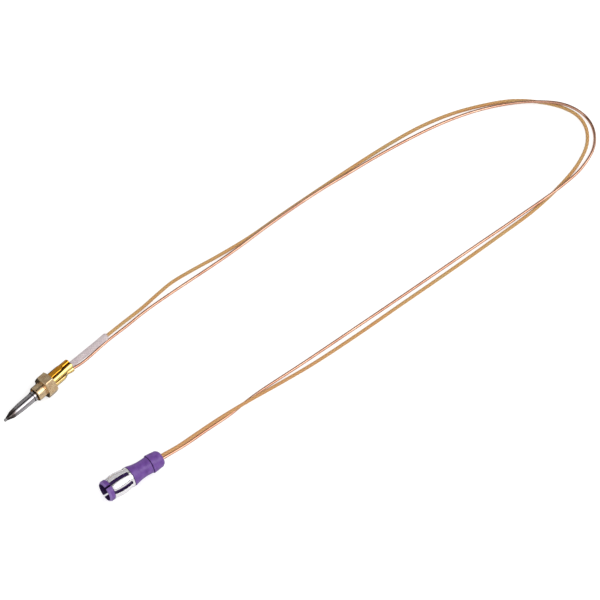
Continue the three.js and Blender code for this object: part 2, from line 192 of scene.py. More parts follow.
bead_low, bead_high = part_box("hot_junction_bead")
PROBE = Axis((bead_low + bead_high) / 2 / MM, (-1, 0, 0), (0, -1, 0))
HEADING = math.radians(-9)
PLUG = Axis(
    (14.2, 57.8, 5.4),
    (-math.cos(HEADING), -math.sin(HEADING), 0),
    (math.sin(HEADING), -math.cos(HEADING), 0),
)


# ---- material helpers ----

def srgb(red, green, blue):
    """A display colour, 0 to 255, as the linear colour that a shader takes."""
    linear = [
        value / 255 / 12.92 if value <= 10 else ((value / 255 + 0.055) / 1.055) ** 2.4
        for value in (red, green, blue)
    ]
    return (*linear, 1)


def set_stops(colour_ramp, stops):
    elements = colour_ramp.elements
    while len(elements) < len(stops):
        elements.new(0.5)
    for element, (place, colour) in zip(elements, stops):
        element.position = place
        element.color = colour


class Shader:
    """A material under construction: a Principled shader and the nodes that feed it."""

    def __init__(self, name, **constants):
        self.material = bpy.data.materials.new(name)
        self.material.use_nodes = True
        self.tree = self.material.node_tree
        self.surface = self.tree.nodes["Principled BSDF"]
        for socket, value in constants.items():
            self.surface.inputs[socket.replace("_", " ")].default_value = value

    def node(self, kind, settings=None, **inputs):
        made = self.tree.nodes.new("ShaderNode" + kind)
        for key, value in (settings or {}).items():
            setattr(made, key, value)
        for key, value in inputs.items():
            self.feed(made.inputs[key.replace("_", " ")], value)
        return made

    def feed(self, socket, value):
        if isinstance(value, bpy.types.NodeSocket):
            self.tree.links.new(value, socket)
        else:
            socket.default_value = value

    def position(self, stretch=(1, 1, 1), turn=(0, 0, 0)):
        """Place in the row frame, in millimetres, stretched for grain that runs one way."""
        coordinates = self.node("TexCoord").outputs["Object"]
        scale = tuple(1000 * value for value in stretch)
        return self.node("Mapping", Vector=coordinates, Scale=scale, Rotation=turn).outputs["Vector"]

    def along(self, stretch=(1, 1, 1)):
        """Place on a lead: millimetres along it, and turns about it."""
        coordinates = self.node("UVMap", {"uv_map": "along"}).outputs["UV"]
        return self.node("Mapping", Vector=coordinates, Scale=stretch).outputs["Vector"]

    def noise(self, vector, scale, detail=3.0, roughness=0.5):
        return self.node(
            "TexNoise", Vector=vector, Scale=scale, Detail=detail, Roughness=roughness
        ).outputs["Fac"]

    def ramp(self, factor, *stops):
        made = self.node("ValToRGB", Fac=factor)
        set_stops(made.color_ramp, stops)
        return made.outputs["Color"]

    def span(self, value, low, high, to_low=0.0, to_high=1.0):
        made = self.node("MapRange", Value=value)
        for key, number in zip(("From Min", "From Max", "To Min", "To Max"), (low, high, to_low, to_high)):
            made.inputs[key].default_value = number
        return made.outputs["Result"]

    def maths(self, operation, first, second=0.0):
        made = self.node("Math", {"operation": operation})
        self.feed(made.inputs[0], first)
        self.feed(made.inputs[1], second)
        return made.outputs["Value"]

    def mix(self, factor, first, second):
        made = self.node("Mix", {"data_type": "RGBA"})
        self.feed(made.inputs[0], factor)
        self.feed(made.inputs[6], first)
        self.feed(made.inputs[7], second)
        return made.outputs[2]

    def bump(self, height, strength, distance_mm, normal=None):
        made = self.node("Bump", Height=height, Strength=strength, Distance=distance_mm * MM)
        if normal is not None:
            self.feed(made.inputs["Normal"], normal)
        return made.outputs["Normal"]

    def finish(self, colour, roughness, normal):
        for socket, value in (("Base Color", colour), ("Roughness", roughness), ("Normal", normal)):
            self.feed(self.surface.inputs[socket], value)
        return self.material


# ---- materials ----

def burnt_steel():
    """Turned heat-resisting steel, brown-black with oxide near the hot tip."""
    shader = Shader("burnt_steel", Metallic=1.0)
    place = shader.position()
    x = shader.node("SeparateXYZ", Vector=place).outputs["X"]
    tip = bead_high.x / MM
    from_tip = shader.maths("SUBTRACT", tip, x)
    blotch = shader.noise(shader.position((0.5, 1, 1)), 0.9, 4)
    wander = shader.span(blotch, 0.2, 0.8, -1.6, 1.6)
    burnt = shader.span(shader.maths("ADD", from_tip, wander), 1.2, 8.5)
    colour = shader.ramp(
        burnt,
        (0.0, (0.016, 0.013, 0.012, 1)), (0.42, (0.032, 0.025, 0.023, 1)),
        (0.6, (0.13, 0.10, 0.095, 1)), (0.8, (0.34, 0.32, 0.33, 1)), (1.0, (0.47, 0.45, 0.47, 1)),
    )
    smudge = shader.noise(place, 1.7, 5)
    soiled = shader.mix(shader.span(smudge, 0.45, 0.75, 0.0, 0.35), colour, (0.33, 0.29, 0.28, 1))
    roughness = shader.ramp(burnt, (0.0, (0.36, 0.36, 0.36, 1)), (0.6, (0.1, 0.1, 0.1, 1)))
    marks = shader.noise(shader.position((14, 0.4, 0.4)), 1.0, 2)
    grime = shader.noise(place, 9, 3)
    normal = shader.bump(marks, 0.12, 0.015, shader.bump(grime, 0.1, 0.015))
    return shader.finish(soiled, roughness, normal)


def weld_steel():
    """The bead: bright weld metal with grey scale in patches."""
    shader = Shader("weld_steel", Metallic=1.0)
    scale = shader.noise(shader.position(), 2.4, 5, 0.6)
    colour = shader.ramp(
        scale, (0.35, (0.13, 0.125, 0.13, 1)), (0.55, (0.36, 0.35, 0.36, 1)), (0.7, (0.6, 0.59, 0.6, 1)),
    )
    roughness = shader.span(scale, 0.3, 0.7, 0.42, 0.2)
    normal = shader.bump(shader.noise(shader.position(), 6, 3), 0.35, 0.04)
    return shader.finish(colour, roughness, normal)


def turned_brass():
    """Dull machined brass: tool marks, dark pits, and tarnish from brown to olive."""
    shader = Shader("turned_brass", Metallic=1.0)
    place = shader.position()
    stain = shader.noise(place, 0.55, 5, 0.6)
    colour = shader.ramp(
        stain,
        (0.3, srgb(204, 168, 130)), (0.45, srgb(214, 184, 144)),
        (0.6, srgb(230, 204, 164)), (0.75, srgb(206, 190, 142)),
    )
    pits = shader.noise(place, 7.0, 4)
    pitted = shader.mix(shader.span(pits, 0.66, 0.8, 0.0, 0.2), colour, srgb(116, 92, 72))
    roughness = shader.span(shader.noise(place, 2.2, 3), 0.3, 0.7, 0.22, 0.32)
    turning = shader.noise(shader.position((26, 0.3, 0.3)), 1.0, 2)
    normal = shader.bump(turning, 0.25, 0.02, shader.bump(pits, 0.1, 0.02))
    return shader.finish(pitted, roughness, normal)


def gold_brass():
    """Thin passivated brass, with painted light across the crimp: a painted highlight on the ridge, painted
    shade in the creases, and the fat side painted amber as a darker side.
    """
    shader = Shader("gold_brass", Metallic=1.0)
    place = shader.position()
    split = shader.node("SeparateXYZ", Vector=place).outputs
    upwards = shader.maths("SUBTRACT", split["Z"], PROBE.front.z)
    level = shader.maths("MULTIPLY", split["Y"], -math.cos(CRIMP_ROLL))
    tilted = shader.maths("MULTIPLY", upwards, -math.sin(CRIMP_ROLL))
    from_ridge = shader.maths("ADD", level, tilted)
    wander = shader.span(shader.noise(shader.position((0.4, 1, 1)), 0.9, 3), 0.2, 0.8, -0.12, 0.12)
    # painted light: colour by distance across the ridge; pale on the ridge and on one side is painted
    # highlight, dark brown in the two creases is painted shade, amber on the fat lobe is a painted darker
    # side
    reach = 4.0
    across = shader.span(shader.maths("ADD", from_ridge, wander), -reach, reach)
    colour = shader.ramp(
        across,
        (0.285, srgb(236, 202, 130)), (0.32, srgb(112, 72, 28)), (0.345, srgb(112, 72, 28)),
        (0.38, srgb(238, 212, 130)), (0.61, srgb(238, 208, 120)), (0.645, srgb(66, 34, 10)),
        (0.685, srgb(66, 34, 10)), (0.72, srgb(250, 178, 52)), (0.9, srgb(236, 160, 42)),
    )
    spots = shader.noise(place, 3.1, 5, 0.65)
    worn = shader.mix(shader.span(spots, 0.66, 0.82, 0.0, 0.35), colour, srgb(150, 100, 48))
    roughness = shader.span(shader.noise(place, 1.8, 3), 0.35, 0.7, 0.12, 0.24)
    drag = shader.noise(shader.position((0.15, 9, 9)), 1.0, 2)
    normal = shader.bump(drag, 0.12, 0.015)
    return shader.finish(worn, roughness, normal)


def drawn_copper():
    """Bright drawn copper with faint die lines and darker handled stretches."""
    shader = Shader("drawn_copper", Metallic=1.0)
    place = shader.along((0.05, 1, 1))
    tone = shader.noise(place, 1.6, 4, 0.6)
    colour = shader.ramp(
        tone, (0.3, srgb(188, 134, 112)), (0.5, srgb(216, 166, 140)), (0.7, srgb(230, 188, 164)),
    )
    tarnish = shader.noise(shader.along((0.6, 3, 1)), 1.0, 4)
    dulled = shader.mix(shader.span(tarnish, 0.58, 0.75, 0.0, 0.45), colour, srgb(150, 92, 72))
    roughness = shader.span(tone, 0.3, 0.7, 0.3, 0.18)
    die_lines = shader.noise(shader.along((0.02, 26, 1)), 1.0, 1)
    normal = shader.bump(die_lines, 0.15, 0.02)
    return shader.finish(dulled, roughness, normal)


def braid_height(shader, strands, pitch_mm):
    """Two families of strands that wind opposite ways and cross over each other."""
    coordinates = shader.node("UVMap", {"uv_map": "along"}).outputs["UV"]
    split = shader.node("SeparateXYZ", Vector=coordinates)
    along = shader.maths("DIVIDE", split.outputs["X"], pitch_mm)
    turns = split.outputs["Y"]
    waves = []
    for sign in ("ADD", "SUBTRACT"):
        phase = shader.maths(sign, turns, along)
        angle = shader.maths("MULTIPLY", phase, 2 * math.pi * strands)
        waves.append(shader.maths("COSINE", angle))
    return shader.maths("MAXIMUM", *waves)


def tan_braid():
    """Varnished glass-silk braid: crossed tan strands, dark gaps, and browner towards the plug."""
    shader = Shader("tan_braid", Specular_IOR_Level=0.25)
    browner_from = 400
    browner_to = 480
    strands = braid_height(shader, TAN_STRANDS, TAN_PITCH)
    yarn = shader.noise(shader.along((5, 40, 1)), 1.0, 2)
    tone = shader.noise(shader.along((0.045, 1, 1)), 1.0, 3)
    colour = shader.ramp(
        tone, (0.32, srgb(186, 130, 72)), (0.5, srgb(188, 144, 86)), (0.68, srgb(176, 148, 96)),
    )
    distance = shader.node("SeparateXYZ", Vector=shader.along()).outputs["X"]
    browned = shader.mix(shader.span(distance, browner_from, browner_to), colour, srgb(190, 138, 84))
    gap = shader.span(strands, -0.2, 0.85, 0.55, 0.0)
    crossed = shader.mix(gap, browned, srgb(112, 78, 46))
    streaked = shader.mix(shader.span(yarn, 0.45, 0.8, 0.0, 0.35), crossed, srgb(222, 194, 152))
    roughness = shader.span(strands, -0.5, 1.0, 0.7, 0.42)
    normal = shader.bump(strands, 0.5, 0.05, shader.bump(yarn, 0.3, 0.02))
    return shader.finish(streaked, roughness, normal)


def glass_braid():
    """Bare glass-fibre sleeving: pale grey crossed yarns with a slightly mauve shade."""
    shader = Shader("glass_braid", Specular_IOR_Level=0.3)
    strands = braid_height(shader, GLASS_STRANDS, GLASS_PITCH)
    yarn = shader.noise(shader.along((9, 70, 1)), 1.0, 2)
    tone = shader.noise(shader.along((0.25, 3, 1)), 1.0, 4)
    colour = shader.ramp(
        tone, (0.3, srgb(168, 154, 158)), (0.5, srgb(188, 174, 176)), (0.7, srgb(198, 188, 184)),
    )
    gap = shader.span(strands, -0.2, 0.8, 0.6, 0.0)
    crossed = shader.mix(gap, colour, srgb(138, 124, 132))
    streaked = shader.mix(shader.span(yarn, 0.45, 0.8, 0.0, 0.6), crossed, srgb(236, 230, 228))
    normal = shader.bump(strands, 0.7, 0.08, shader.bump(yarn, 0.4, 0.03))
    return shader.finish(streaked, shader.span(yarn, 0.3, 0.7, 0.75, 0.5), normal)


def plug_distances(shader):
    """Millimetres behind the plug's front face, and out from its axis."""
    turned = shader.position(turn=(0, 0, -HEADING))
    split = shader.node("SeparateXYZ", Vector=turned).outputs
    front = Matrix.Rotation(-HEADING, 3, "Z") @ PLUG.front
    station = shader.maths("SUBTRACT", front.x, split["X"])
    sideways = shader.maths("SUBTRACT", split["Y"], front.y)
    upwards = shader.maths("SUBTRACT", split["Z"], front.z)
    squares = [shader.maths("MULTIPLY", value, value) for value in (sideways, upwards)]
    return station, shader.maths("SQRT", shader.maths("ADD", *squares))


def purple_plastic():
    """Satin moulded nylon: fine grain, painted shade inside the nose and under the cage, and a painted
    highlight on the front rim.
    """
    shader = Shader("purple_plastic", IOR=1.5, Specular_IOR_Level=0.3)
    place = shader.position()
    tone = shader.noise(place, 0.45, 4)
    colour = shader.ramp(
        tone, (0.3, srgb(88, 53, 124)), (0.5, srgb(100, 64, 137)), (0.72, srgb(110, 76, 147)),
    )
    scuff = shader.noise(place, 3.4, 6, 0.7)
    scuffed = shader.mix(shader.span(scuff, 0.6, 0.78, 0.0, 0.35), colour, srgb(156, 134, 186))
    station, radius = plug_distances(shader)
    # painted shade: the barrel under the cage and the inside of the nose are darkened towards near-black
    # violet, where shade falls
    in_front = shader.span(station, SHOULDER, SHOULDER + 0.2, 1.0, 0.0)
    inside = shader.span(radius, BARREL_RADIUS + 0.05, BARREL_RADIUS + 0.2, 0.9, 0.0)
    painted_shade_zone = shader.maths("MULTIPLY", in_front, inside)
    with_painted_shade = shader.mix(painted_shade_zone, scuffed, srgb(34, 16, 58))
    # painted highlight: the outer front rim of the nose is lightened towards pale lavender
    at_front = shader.span(station, NOSE_BEVEL_LENGTH - 0.05, NOSE_BEVEL_LENGTH + 0.1, 1.0, 0.0)
    on_rim = shader.span(radius, NOSE_BORE_RADIUS + 0.15, NOSE_BORE_RADIUS + 0.3, 0.0, 0.3)
    with_painted_highlight = shader.mix(shader.maths("MULTIPLY", at_front, on_rim), with_painted_shade, srgb(160, 138, 196))
    grain = shader.noise(place, 16, 2)
    roughness = shader.span(scuff, 0.3, 0.7, 0.28, 0.4)
    normal = shader.bump(grain, 0.12, 0.02)
    return shader.finish(with_painted_highlight, roughness, normal)


def bright_nickel():
    """Mirror-bright plated spring strip with hairline scratches."""
    shader = Shader("bright_nickel", Metallic=0.75)
    place = shader.position()
    haze = shader.noise(place, 1.3, 4)
    colour = shader.ramp(haze, (0.35, srgb(238, 234, 238)), (0.65, srgb(250, 248, 250)))
    scratches = shader.noise(shader.position((0.4, 14, 14), (0, 0, -HEADING)), 1.0, 2)
    roughness = shader.span(haze, 0.35, 0.75, 0.03, 0.08)
    normal = shader.bump(scratches, 0.05, 0.015)
    return shader.finish(colour, roughness, normal)


def dull_metal(name, dark, light, roughness_low, roughness_high):
    """Plain metal with a cloudy surface, for the small inner pieces."""
    shader = Shader(name, Metallic=1.0)
    cloud = shader.noise(shader.position(), 2.0, 4)
    colour = shader.ramp(cloud, (0.35, dark), (0.65, light))
    normal = shader.bump(shader.noise(shader.position(), 9, 2), 0.15, 0.02)
    return shader.finish(colour, shader.span(cloud, 0.3, 0.7, roughness_low, roughness_high), normal)


def fired_ceramic():
    """Pressed and fired insulator: chalky, with fine pores."""
    shader = Shader("fired_ceramic")
    pores = shader.noise(shader.position(), 8, 5, 0.7)
    colour = shader.ramp(pores, (0.3, srgb(196, 188, 172)), (0.6, srgb(230, 225, 214)))
    normal = shader.bump(pores, 0.35, 0.03)
    return shader.finish(colour, shader.span(pores, 0.3, 0.7, 0.9, 0.7), normal)


STEEL = burnt_steel()
WELD = weld_steel()
BRASS = turned_brass()
GOLD = gold_brass()
COPPER = drawn_copper()
TAN_BRAID = tan_braid()
GLASS_BRAID = glass_braid()
PURPLE = purple_plastic()
NICKEL = bright_nickel()
TIN = dull_metal("tin_plate", srgb(168, 168, 172), srgb(206, 206, 208), 0.28, 0.42)
ALLOY = dull_metal("constantan", srgb(150, 138, 122), srgb(190, 178, 160), 0.34, 0.5)
CORE_COPPER = dull_metal("core_copper", srgb(186, 116, 84), srgb(228, 160, 124), 0.25, 0.4)
CERAMIC = fired_ceramic()


# ---- mesh helpers ----

def new_object(name, mesh, material, sharp_degrees):
    mesh.materials.append(material)
    mesh.shade_smooth()
    mesh.set_sharp_from_angle(angle=math.radians(sharp_degrees))
    piece = bpy.data.objects.new(name, mesh)
    bpy.context.scene.collection.objects.link(piece)
    return piece


def built_object(name, build, material, sharp_degrees=35):
    """Turns every face outwards and makes the object."""
    bmesh.ops.recalc_face_normals(build, faces=build.faces)
    mesh = bpy.data.meshes.new(name)
    build.to_mesh(mesh)
    build.free()
    return new_object(name, mesh, material, sharp_degrees)


def angles(count):
    """Even turns round a circle."""
    return [2 * math.pi * i / count for i in range(count)]


def band(build, near, far):
    """The faces between two closed rings of points."""
    faces = []
    for i in range(len(near)):
        j = (i + 1) % len(near)
        faces.append(build.faces.new((near[i], near[j], far[j], far[i])))
    return faces


def lofted(name, rings, material, wrap_rings=False, uv_rows=None, sharp_degrees=35):
    """A skin over closed rings of points. The last ring joins the first, or each end is capped."""
    build = bmesh.new()
    rows = [[build.verts.new(point) for point in ring] for ring in rings]
    around = len(rows[0])
    layer = build.loops.layers.uv.new("along") if uv_rows else None
    row_pairs = list(zip(rows, rows[1:]))
    if wrap_rings:
        row_pairs.append((rows[-1], rows[0]))
    for row, (near, far) in enumerate(row_pairs):
        for i, face in enumerate(band(build, near, far)):
            if layer:
                corners = ((row, i), (row, i + 1), (row + 1, i + 1), (row + 1, i))
                for loop, (along, turn) in zip(face.loops, corners):
                    loop[layer].uv = (uv_rows[along], turn / around)
    if not wrap_rings:
        build.faces.new(rows[0][::-1])
        build.faces.new(rows[-1])
    # points that coincide, as on a turning axis, become one
    bmesh.ops.remove_doubles(build, verts=build.verts, dist=0.5e-6)
    return built_object(name, build, material, sharp_degrees)


def rounded(corners):
    """An outline with its corners turned into arcs: each corner is (station, radius, fillet)."""
    arc_steps = 4
    points = []
    count = len(corners)
    for i, (station, radius, fillet) in enumerate(corners):
        corner = Vector((station, radius))
        if fillet == 0:
            points.append(corner)
            continue
        before = Vector(corners[i - 1][:2]) - corner
        after = Vector(corners[(i + 1) % count][:2]) - corner
        turn = math.pi - before.angle(after)
        reach = fillet * math.tan(turn / 2)
        reach = min(reach, 0.48 * before.length, 0.48 * after.length)
        start = corner + before.normalized() * reach
        end = corner + after.normalized() * reach
        for step in range(arc_steps + 1):
            share = step / arc_steps
            points.append(start.lerp(corner, share).lerp(corner.lerp(end, share), share))
    return points


def revolved(name, axis, outline, material, sides=96, roll=0.0, sharp_degrees=35):
    """A turned piece. The outline is a closed list of corners, or a function of the angle."""
    rings = []
    for angle in angles(sides):
        corners = outline(angle) if callable(outline) else outline
        rings.append([axis.at(s, angle + roll, r) for s, r in rounded(corners)])
    return lofted(name, rings, material, wrap_rings=True, sharp_degrees=sharp_degrees)


def finish_piece(piece, slot, *nodes):
    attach(piece, "root")
    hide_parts(*nodes)


# ---- smooth routes ----

def smooth_route(points, spacing):
    """Points a set distance apart on the centripetal Catmull-Rom curve through a route."""
    knots = [Vector(point) for point in points]
    knots = [2 * knots[0] - knots[1], *knots, 2 * knots[-1] - knots[-2]]
    dense = []
    steps = 40
    for a, b, c, d in zip(knots, knots[1:], knots[2:], knots[3:]):
        first, middle, last = (math.sqrt((q - p).length) for p, q in ((a, b), (b, c), (c, d)))
        leave = ((b - a) / first - (c - a) / (first + middle) + (c - b) / middle) * middle
        arrive = ((c - b) / middle - (d - b) / (middle + last) + (d - c) / last) * middle
        for step in range(steps):
            t = step / steps
            dense.append(
                b * (2 * t**3 - 3 * t**2 + 1) + leave * (t**3 - 2 * t**2 + t)
                + c * (3 * t**2 - 2 * t**3) + arrive * (t**3 - t**2)
            )
    dense.append(knots[-2])
    lengths = [0.0]
    for p, q in zip(dense, dense[1:]):
        lengths.append(lengths[-1] + (q - p).length)
    count = max(2, round(lengths[-1] / spacing))
    spaced = []
    segment = 0
    for i in range(count + 1):
        target = lengths[-1] * i / count
        while segment < len(dense) - 2 and lengths[segment + 1] < target:
            segment += 1
        share = (target - lengths[segment]) / (lengths[segment + 1] - lengths[segment])
        spaced.append((target, dense[segment].lerp(dense[segment + 1], share)))
    return spaced


def directions(spaced):
    """Side and top directions across a route at each of its points."""
    frames = []
    last = len(spaced) - 1
    for i in range(last + 1):
        heading = (spaced[min(i + 1, last)][1] - spaced[max(i - 1, 0)][1]).normalized()
        side = heading.cross(UP).normalized()
        frames.append((side, side.cross(heading)))
    return frames


def route_ring(place, across, sides, radius_at):
    """The points round one place on a route."""
    distance, centre = place
    side, top = across
    ring = []
    for angle in angles(sides):
        out = side * math.sin(angle) + top * math.cos(angle)
        ring.append((centre + out * radius_at(distance, angle)) * MM)
    return ring


def lead_tube(name, route, radius_at, material, sides, spacing):
    """A lead's skin, with its distance along and turns about kept as a UV map."""
    spaced = smooth_route(route, spacing)
    rings = [route_ring(*at, sides, radius_at) for at in zip(spaced, directions(spaced))]
    piece = lofted(name, rings, material, uv_rows=[distance for distance, _ in spaced])
    return piece, [centre * MM for _, centre in spaced]


# ---- leads ----

def braid_relief(distance, angle, strands, pitch):
    """From 0 in the gaps to 1 on top of a strand."""
    turn = 2 * math.pi * distance / pitch
    waves = (math.cos(strands * (angle + turn)), math.cos(strands * (angle - turn)))
    return 0.5 + 0.5 * max(waves)


def insulated_lead():
    depth = 0.07

    def radius_at(distance, angle):
        return INSULATED_RADIUS - depth + depth * braid_relief(distance, angle, TAN_STRANDS, TAN_PITCH)

    return lead_tube("insulated_lead_skin", INSULATED_ROUTE, radius_at, TAN_BRAID, 24, 0.25)


def copper_lead():
    def radius_at(distance, angle):
        return COPPER_RADIUS + 0.006 * math.sin(distance / 7) * math.sin(2 * angle)

    return lead_tube("bare_copper_lead_skin", COPPER_ROUTE, radius_at, COPPER, 20, 0.8)


tan_lead, tan_path = insulated_lead()
finish_piece(tan_lead, "tan_braid", "insulated_lead")
bare_lead, bare_path = copper_lead()
finish_piece(bare_lead, "copper", "bare_copper_lead")


# ---- sleeve ----

def glass_sleeve():
    """Braided sleeving: narrow in the crimp, opened out and a little frayed at its free end."""
    inner_depth = 4.0
    depth = 0.09
    flare_from = 0.8
    sides = 108
    spaced = smooth_route(SLEEVE_ROUTE, 0.14)
    frames = directions(spaced)
    full = spaced[-1][0]

    def outer(distance):
        share = distance / full
        return SLEEVE_RADIUS + 0.08 * share + 0.08 * max(0.0, share - flare_from) / 0.2

    def outside(distance, angle):
        bumps = depth * braid_relief(distance, angle, GLASS_STRANDS, GLASS_PITCH)
        squeeze = 0.10 * math.cos(2 * angle) * (1 - distance / full)
        return outer(distance) - depth + bumps + squeeze

    def inside(distance, angle):
        return outer(distance) - depth - SLEEVE_WALL

    rings = [route_ring(*at, sides, outside) for at in zip(spaced, frames)]
    rows = [distance for distance, _ in spaced]
    inner = [i for i in range(len(spaced)) if spaced[i][0] > full - inner_depth]
    for i in reversed(inner):
        rings.append(route_ring(spaced[i], frames[i], sides, inside))
        rows.append(full + (full - spaced[i][0]) + SLEEVE_WALL)
    return lofted("glass_sleeve_braid", rings, GLASS_BRAID, uv_rows=rows), spaced, frames, outer


def frayed_ends(spaced, frames, outer):
    """Loose glass filaments that stand out from the sleeve's cut end."""
    rng = random.Random(4)
    yarn_count = 26
    yarn_sides = 5
    steps = 6
    sunk = 0.5
    distance, centre = spaced[-1]
    side, top = frames[-1]
    heading = (spaced[-1][1] - spaced[-4][1]).normalized()
    build = bmesh.new()
    for _ in range(yarn_count):
        angle = rng.uniform(0, 2 * math.pi)
        out = side * math.sin(angle) + top * math.cos(angle)
        length = rng.uniform(0.5, 1.5)
        lean = rng.uniform(-0.1, 0.55)
        curl = rng.uniform(-0.25, 0.25)
        thickness = rng.uniform(0.03, 0.05)
        root = centre - heading * sunk + out * (outer(distance) - 0.2)
        across = out.cross(heading)
        rings = []
        for step in range(steps + 1):
            share = step / steps
            middle = root + heading * (sunk + length * share)
            middle = middle + out * lean * share**2 + across * curl * share**2
            radius = thickness * (1 - 0.7 * share)
            rings.append([
                build.verts.new((middle + (out * math.cos(turn) + across * math.sin(turn)) * radius) * MM)
                for turn in angles(yarn_sides)
            ])
        for near, far in zip(rings, rings[1:]):
            band(build, near, far)
        build.faces.new(rings[0][::-1])
        build.faces.new(rings[-1])
    return built_object("sleeve_frayed_yarns", build, GLASS_BRAID)


sleeve, sleeve_spaced, sleeve_frames, sleeve_outer = glass_sleeve()
finish_piece(sleeve, "glass_fibre", "glass_sleeve")
yarns = frayed_ends(sleeve_spaced, sleeve_frames, sleeve_outer)
finish_piece(yarns, "glass_fibre")


# ---- probe ----

def weld_bead():
    """A slightly lumpy ball with a short neck that runs into the sheath's bore."""
    neck_radius = 0.5
    neck_rear = 0.95
    sides = 48
    steps = 24
    rings = []
    for step in range(steps):
        polar = math.pi * step / steps
        ring = []
        for angle in angles(sides):
            lump = 1 + 0.05 * math.sin(2 * angle + 1) * math.sin(polar) ** 2 + 0.03 * math.cos(3 * polar)
            radius = BEAD_RADIUS * 0.97 * lump
            across = radius * math.sin(polar)
            if polar > math.pi / 2:
                across = max(across, neck_radius)
            ring.append(PROBE.at(-radius * math.cos(polar), angle, across))
        rings.append(ring)
    rings.append([PROBE.at(neck_rear, angle, neck_radius) for angle in angles(sides)])
    return lofted("weld_bead", rings, WELD)


def sheath_outline():
    root = RING_FRONT - 0.3
    rear = 25.7
    bore = 1.3
    tip_bore = 0.6
    return [
        (0.75, tip_bore, 0), (0.8, 0.78, 0.1), (2.0, 1.13, 0.8), (4.0, 1.8, 2.0), (9.5, 2.19, 4.0),
        (root, 2.225, 0.15), (root, SHANK_RADIUS, 0), (rear, SHANK_RADIUS, 0),
        (rear, bore, 0), (9.1, bore, 0), (4.6, tip_bore, 0),
    ]


def ring_outline():
    bore = SHANK_RADIUS + 0.15
    return [
        (RING_FRONT, bore, 0), (RING_FRONT, RING_RADIUS, 0.3),
        (RING_REAR, RING_RADIUS, 0.3), (RING_REAR, bore, 0),
    ]


def hex_radius(angle):
    """Distance from the axis to the hexagon, its corners slightly rounded."""
    sector = math.radians(60)
    offset = (angle + sector / 2) % sector - sector / 2
    flat = HEX_FLAT_RADIUS / math.cos(offset)
    corner = HEX_FLAT_RADIUS / math.cos(sector / 2)
    softness = 0.05
    limit = corner - 0.08
    return flat - softness * math.log1p(math.exp((flat - limit) / softness))


def bush_outline(angle):
    across = hex_radius(angle)
    face_radius = 4.75
    slope = 0.5 / (HEX_FLAT_RADIUS / math.cos(math.radians(30)) - face_radius)
    chamfer = slope * (across - face_radius)
    bore = SHANK_RADIUS + 0.15
    recess = BUSH_FRONT + 0.8
    recess_radius = 2.8
    seat = TUBE_FRONT - 0.3
    seat_radius = TUBE_RADIUS + 0.08
    undercut = NECK_RADIUS - 0.2
    return [
        (recess, bore, 0), (recess, recess_radius, 0.05), (BUSH_FRONT, recess_radius, 0.08),
        (BUSH_FRONT, NECK_RADIUS - 0.3, 0.08), (BUSH_FRONT + 0.3, NECK_RADIUS, 0.15),
        (HEX_FRONT - 0.7, NECK_RADIUS, 0.08), (HEX_FRONT - 0.45, undercut, 0.1), (HEX_FRONT, undercut, 0.12),
        (HEX_FRONT, face_radius, 0.1), (HEX_FRONT + chamfer, across, 0.12),
        (HEX_REAR - chamfer, across, 0.12), (HEX_REAR, face_radius, 0.1),
        (HEX_REAR, seat_radius, 0.12), (seat, seat_radius, 0), (seat, bore, 0),
    ]


# A quarter of the crimp's section on each side: turn on the round tube, then across and up.
# The wing holds the bare lead, and the lobe opposite is fatter.
WING_OUTSIDE = [
    (0, 0, 2.3), (9, 0.62, 2.26), (17, 1.08, 2.02), (22, 1.24, 1.55), (27, 1.45, 1.2), (38, 2.1, 1.22),
    (56, 2.78, 1.1), (74, 3.16, 0.66), (90, 3.3, 0),
]
WING_INSIDE = [
    (0, 0, 1.9), (9, 0.5, 1.86), (17, 0.84, 1.62), (22, 0.98, 1.26), (27, 1.2, 0.9), (38, 1.75, 0.9),
    (56, 2.45, 0.84), (74, 2.88, 0.5), (90, 3.02, 0),
]
LOBE_OUTSIDE = [
    (0, 0, 2.3), (9, 0.62, 2.26), (17, 1.08, 2.02), (22, 1.24, 1.5), (27, 1.42, 1.32), (38, 2.0, 1.66),
    (56, 2.75, 1.4), (74, 3.12, 0.8), (90, 3.2, 0),
]
LOBE_INSIDE = [
    (0, 0, 1.9), (9, 0.5, 1.86), (17, 0.84, 1.62), (22, 0.96, 1.1), (27, 1.08, 0.7), (38, 1.7, 0.9),
    (56, 2.35, 0.8), (74, 2.68, 0.4), (90, 2.78, 0),
]


def whole_outline(right, left):
    """Mirrors two quarters into a closed outline of (turn, across, up)."""
    upper_right = right[:-1]
    lower_right = [(180 - turn, x, -z) for turn, x, z in right[1:]][::-1]
    lower_left = [(180 + turn, -x, -z) for turn, x, z in left[:-1]]
    upper_left = [(360 - turn, -x, z) for turn, x, z in left[1:]][::-1]
    return upper_right + lower_right + lower_left + upper_left


def refined(outline):
    """Smooth points between the outline's own points."""
    steps = 5
    count = len(outline)
    points = []
    for i in range(count):
        around = [outline[(i + k) % count] for k in (-1, 0, 1, 2)]
        turns = [a[0] for a in around]
        for k in range(1, 4):
            while turns[k] < turns[k - 1]:
                turns[k] += 360
        a, b, c, d = (Vector((turn, x, z)) for turn, (_, x, z) in zip(turns, around))
        for step in range(steps):
            t = step / steps
            points.append(
                0.5 * (2 * b + (c - a) * t + (2 * a - 5 * b + 4 * c - d) * t**2
                       + (3 * b - a - 3 * c + d) * t**3)
            )
    return points


def ease(share):
    share = min(1.0, max(0.0, share))
    return share * share * (3 - 2 * share)


